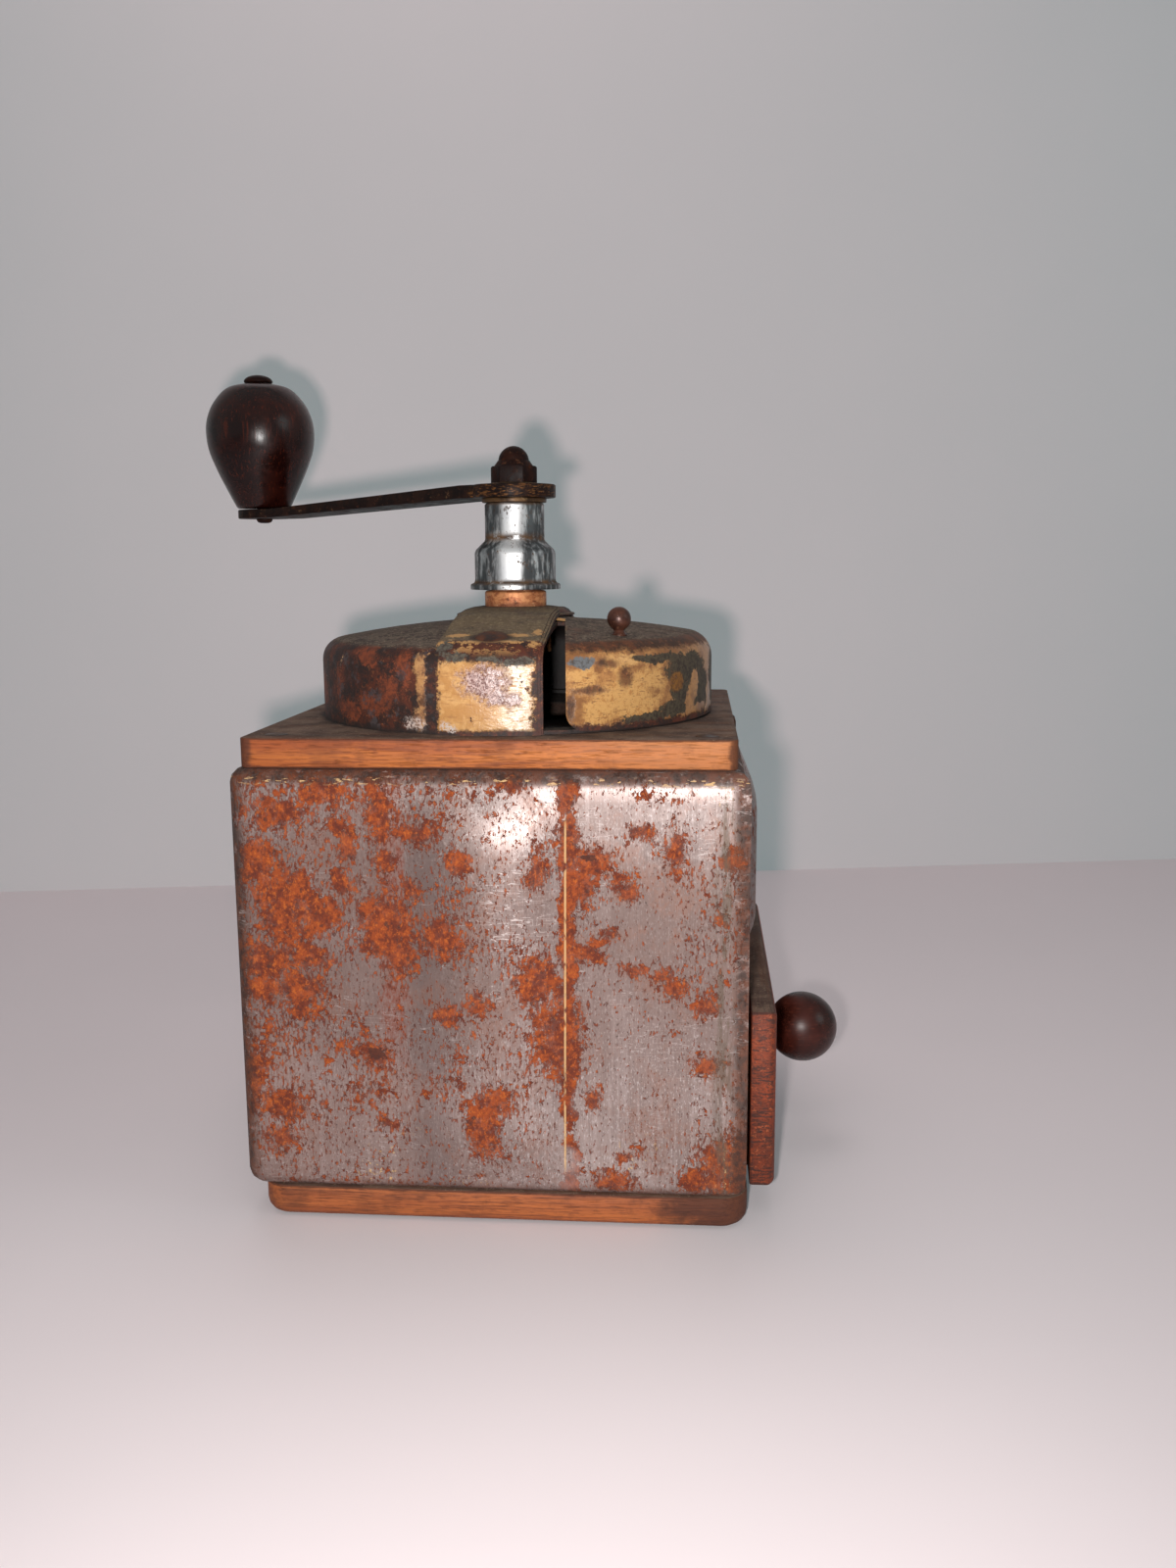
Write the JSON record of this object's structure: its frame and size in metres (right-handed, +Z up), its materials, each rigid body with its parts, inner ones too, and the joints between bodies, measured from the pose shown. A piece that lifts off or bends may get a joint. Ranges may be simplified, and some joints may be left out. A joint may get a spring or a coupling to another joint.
{
  "type": "hand crank coffee grinder",
  "caption": "Square box coffee grinder with a pressed steel case, round dome with a turning shutter, hand crank with a wooden grip and a wooden drawer.",
  "frame": {"origin": "on the standing surface, under the crank spindle's axis", "axes": "+Z up along the spindle, +X the way the drawer pulls out, -Y the side the picture shows"},
  "size_m": [0.1694, 0.118, 0.193],
  "materials": {
    "base_board": "worn stain",
    "top_board": "worn, dusty",
    "board_screws": "rusted",
    "case_wrap": "brushed, rust spots",
    "case_side_panel": "brushed, rust spots",
    "drawer_guides": "bare",
    "dome_cover": "worn paint, rust",
    "dome_bridge": "worn cream paint, rust",
    "bridge_rivets": "dark, rusted",
    "dome_door": "worn cream paint",
    "door_knob": "semi-gloss",
    "neck_bush": "tarnished",
    "adjuster_bell": "pitted chrome",
    "adjuster_nut": "tarnished",
    "crank_washer": "rusted",
    "spindle": "dull",
    "crank_arm": "brown patina",
    "nut_washer": "dull",
    "cap_nut": "worn plating",
    "handle_pin": "brown patina",
    "handle_knob": "dark lacquer",
    "drawer_front": "worn varnish",
    "drawer_sides": "bare",
    "drawer_back": "bare",
    "drawer_bottom": "bare",
    "drawer_knob": "dark lacquer",
    "drawer_knob_screw": "dull",
    "outer_burr": "cast",
    "burr_screws": "dull",
    "inner_burr": "cast, cut teeth",
    "lower_bar": "cast",
    "spindle_spring": "dull"
  },
  "bodies": {
    "mill": {"base_board": "base_board", "top_board": "top_board", "board_screws": "board_screws", "case_wrap": "case_wrap", "case_side_panel": "case_side_panel", "drawer_guides": "drawer_guides", "dome_cover": "dome_cover", "dome_bridge": "dome_bridge", "bridge_rivets": "bridge_rivets", "neck_bush": "neck_bush", "outer_burr": "outer_burr", "burr_screws": "burr_screws", "lower_bar": "lower_bar", "spindle_spring": "spindle_spring"},
    "shutter": {"dome_door": "dome_door", "door_knob": "door_knob"},
    "adjuster": {"adjuster_bell": "adjuster_bell", "adjuster_nut": "adjuster_nut"},
    "crank": {"spindle": "spindle", "inner_burr": "inner_burr", "crank_washer": "crank_washer", "crank_arm": "crank_arm", "nut_washer": "nut_washer", "cap_nut": "cap_nut", "handle_pin": "handle_pin"},
    "grip": {"handle_knob": "handle_knob"},
    "drawer": {"drawer_front": "drawer_front", "drawer_sides": "drawer_sides", "drawer_back": "drawer_back", "drawer_bottom": "drawer_bottom", "drawer_knob": "drawer_knob", "drawer_knob_screw": "drawer_knob_screw"}
  },
  "joints": [
    {"name": "shutter_turn", "type": "hinge", "parent": "mill", "child": "shutter", "pos_m": [0, 0, 0.125], "axis": [0, 0, 1], "range_deg": [-5.5, 66]},
    {"name": "adjust_turn", "type": "hinge", "parent": "mill", "child": "adjuster", "pos_m": [0, 0, 0.14], "axis": [0, 0, 1], "range_deg": [-90, 90]},
    {"name": "crank_spin", "type": "hinge", "parent": "mill", "child": "crank", "pos_m": [0, 0, 0.12], "axis": [0, 0, 1], "continuous": true},
    {"name": "grip_spin", "type": "hinge", "parent": "crank", "child": "grip", "pos_m": [-0.07567, 0.04493, 0.17], "axis": [0, 0, 1], "continuous": true},
    {"name": "drawer_slide", "type": "slide", "parent": "mill", "child": "drawer", "axis": [1, 0, 0], "range_m": [0, 0.07]}
  ]
}
